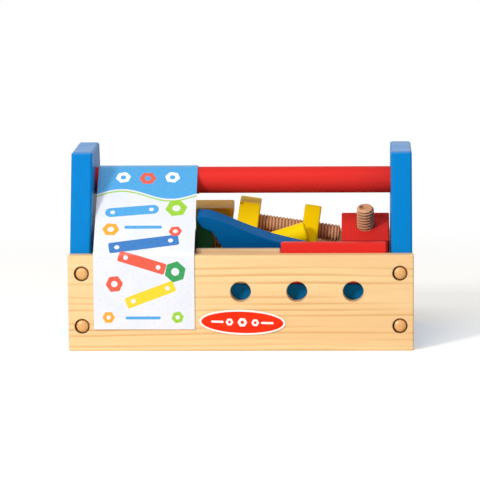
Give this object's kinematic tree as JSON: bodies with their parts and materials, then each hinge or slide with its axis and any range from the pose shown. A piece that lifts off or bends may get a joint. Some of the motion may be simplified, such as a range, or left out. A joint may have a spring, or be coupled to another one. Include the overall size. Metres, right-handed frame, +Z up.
{
  "type": "wooden toy tool box",
  "caption": "Open wooden toy tool box with blue end panels and a red bar handle, holding a toy hammer, wrench, screwdriver, bolts, nuts and peg bars.",
  "frame": {"origin": "middle of the box's footprint, on the ground", "axes": "+X along the box to the right, +Y to the back, +Z up; the card and the badge are on the -Y side"},
  "size_m": [0.255, 0.1409, 0.1435],
  "materials": {
    "pine": "satin clear lacquer",
    "blue_paint": "satin lacquer",
    "red_paint": "satin lacquer",
    "yellow_paint": "satin lacquer",
    "green_paint": "satin lacquer",
    "thread_wood": "bare turned wood",
    "screw_steel": "zinc plated",
    "printed_card": "gloss print",
    "badge_print": "gloss print"
  },
  "bodies": {
    "box": {"front_panel": "pine", "back_panel": "pine", "left_end_panel": "blue_paint", "right_end_panel": "blue_paint", "bottom_board": "pine", "handle_dowel": "red_paint", "badge": "badge_print", "screw_front_1": "screw_steel", "screw_front_2": "screw_steel", "screw_front_3": "screw_steel", "screw_front_4": "screw_steel", "screw_back_1": "screw_steel", "screw_back_2": "screw_steel", "screw_back_3": "screw_steel", "screw_back_4": "screw_steel", "plug_front_1": "pine", "plug_front_2": "pine", "plug_front_3": "pine", "plug_front_4": "pine", "plug_back_1": "pine", "plug_back_2": "pine", "plug_back_3": "pine", "plug_back_4": "pine"},
    "card": {"card": "printed_card"},
    "blue_bar": {"blue_bar": "blue_paint"},
    "red_bar": {"red_bar": "red_paint"},
    "natural_bar": {"natural_bar": "pine"},
    "yellow_bar": {"yellow_bar": "yellow_paint"},
    "middle_slat": {"middle_slat": "pine"},
    "wrench_slat": {"wrench_slat": "blue_paint"},
    "back_slat": {"back_slat": "pine"},
    "flat_slat": {"flat_slat": "red_paint"},
    "wrench": {"wrench": "blue_paint"},
    "hammer": {"hammer_handle": "yellow_paint", "hammer_head": "pine"},
    "screwdriver": {"screwdriver_handle": "red_paint", "screwdriver_shaft": "pine"},
    "yellow_bolt": {"yellow_bolt_head": "yellow_paint", "yellow_bolt_thread": "thread_wood"},
    "yellow_nut": {"yellow_nut": "yellow_paint"},
    "red_bolt": {"red_bolt_head": "red_paint", "red_bolt_thread": "thread_wood"},
    "red_nut": {"red_nut": "red_paint"},
    "green_bolt": {"green_bolt_head": "green_paint", "green_bolt_thread": "thread_wood"},
    "green_nut": {"green_nut": "green_paint"}
  },
  "joints": [
    {"name": "card_lift", "type": "slide", "parent": "box", "child": "card", "axis": [0, 0, 1], "range_m": [0, 0.12]},
    {"name": "blue_bar_lift", "type": "slide", "parent": "box", "child": "blue_bar", "axis": [0, 0, 1], "range_m": [0, 0.028]},
    {"name": "red_bar_lift", "type": "slide", "parent": "blue_bar", "child": "red_bar", "axis": [0, 0, 1], "range_m": [0, 0.06]},
    {"name": "natural_bar_lift", "type": "slide", "parent": "blue_bar", "child": "natural_bar", "axis": [0, 0, 1], "range_m": [0, 0.06]},
    {"name": "yellow_bar_lift", "type": "slide", "parent": "box", "child": "yellow_bar", "axis": [0, 0, 1], "range_m": [0, 0.06]},
    {"name": "middle_slat_shift", "type": "slide", "parent": "box", "child": "middle_slat", "axis": [1, 0, 0], "range_m": [0, 0.05]},
    {"name": "wrench_slat_shift", "type": "slide", "parent": "box", "child": "wrench_slat", "axis": [1, 0, 0], "range_m": [-0.05, 0]},
    {"name": "back_slat_shift", "type": "slide", "parent": "box", "child": "back_slat", "axis": [1, 0, 0], "range_m": [-0.02, 0]},
    {"name": "flat_slat_shift", "type": "slide", "parent": "box", "child": "flat_slat", "axis": [1, 0, 0], "range_m": [-0.0015, 0.0015]},
    {"name": "wrench_lift", "type": "slide", "parent": "box", "child": "wrench", "axis": [0, -0.2419, 0.9703], "range_m": [0, 0.024]},
    {"name": "hammer_draw", "type": "slide", "parent": "box", "child": "hammer", "axis": [0.9542, 0, 0.299], "range_m": [0, 0.02]},
    {"name": "screwdriver_roll", "type": "hinge", "parent": "box", "child": "screwdriver", "pos_m": [0.03, 0.02917, 0.0417], "axis": [1, 0, 0], "continuous": true},
    {"name": "yellow_bolt_turn", "type": "hinge", "parent": "box", "child": "yellow_bolt", "pos_m": [0.003, 0.01997, 0.08456], "axis": [0.9895, 0, -0.1444], "range_deg": [0, 2160]},
    {"name": "yellow_nut_travel", "type": "slide", "parent": "box", "child": "yellow_nut", "axis": [-0.9895, 0, 0.1444], "range_m": [0, 0.015]},
    {"name": "red_bolt_turn", "type": "hinge", "parent": "box", "child": "red_bolt", "pos_m": [0.09215, -0.0025, 0.0834], "axis": [0, 0.4617, -0.887], "range_deg": [0, 1944]},
    {"name": "red_nut_travel", "type": "slide", "parent": "box", "child": "red_nut", "axis": [0, -0.4617, 0.887], "range_m": [0, 0.0135]},
    {"name": "green_bolt_turn", "type": "hinge", "parent": "box", "child": "green_bolt", "pos_m": [-0.068, 0.03982, 0.06748], "axis": [1, 0, 0], "range_deg": [0, 4320]},
    {"name": "green_nut_travel", "type": "slide", "parent": "box", "child": "green_nut", "axis": [-1, 0, 0], "range_m": [0, 0.03]}
  ],
  "couplings": [
    {"joint": "yellow_nut_travel", "follows": "yellow_bolt_turn", "m_per_rad": 0.00039789},
    {"joint": "red_nut_travel", "follows": "red_bolt_turn", "m_per_rad": 0.00039789},
    {"joint": "green_nut_travel", "follows": "green_bolt_turn", "m_per_rad": 0.00039789}
  ]
}
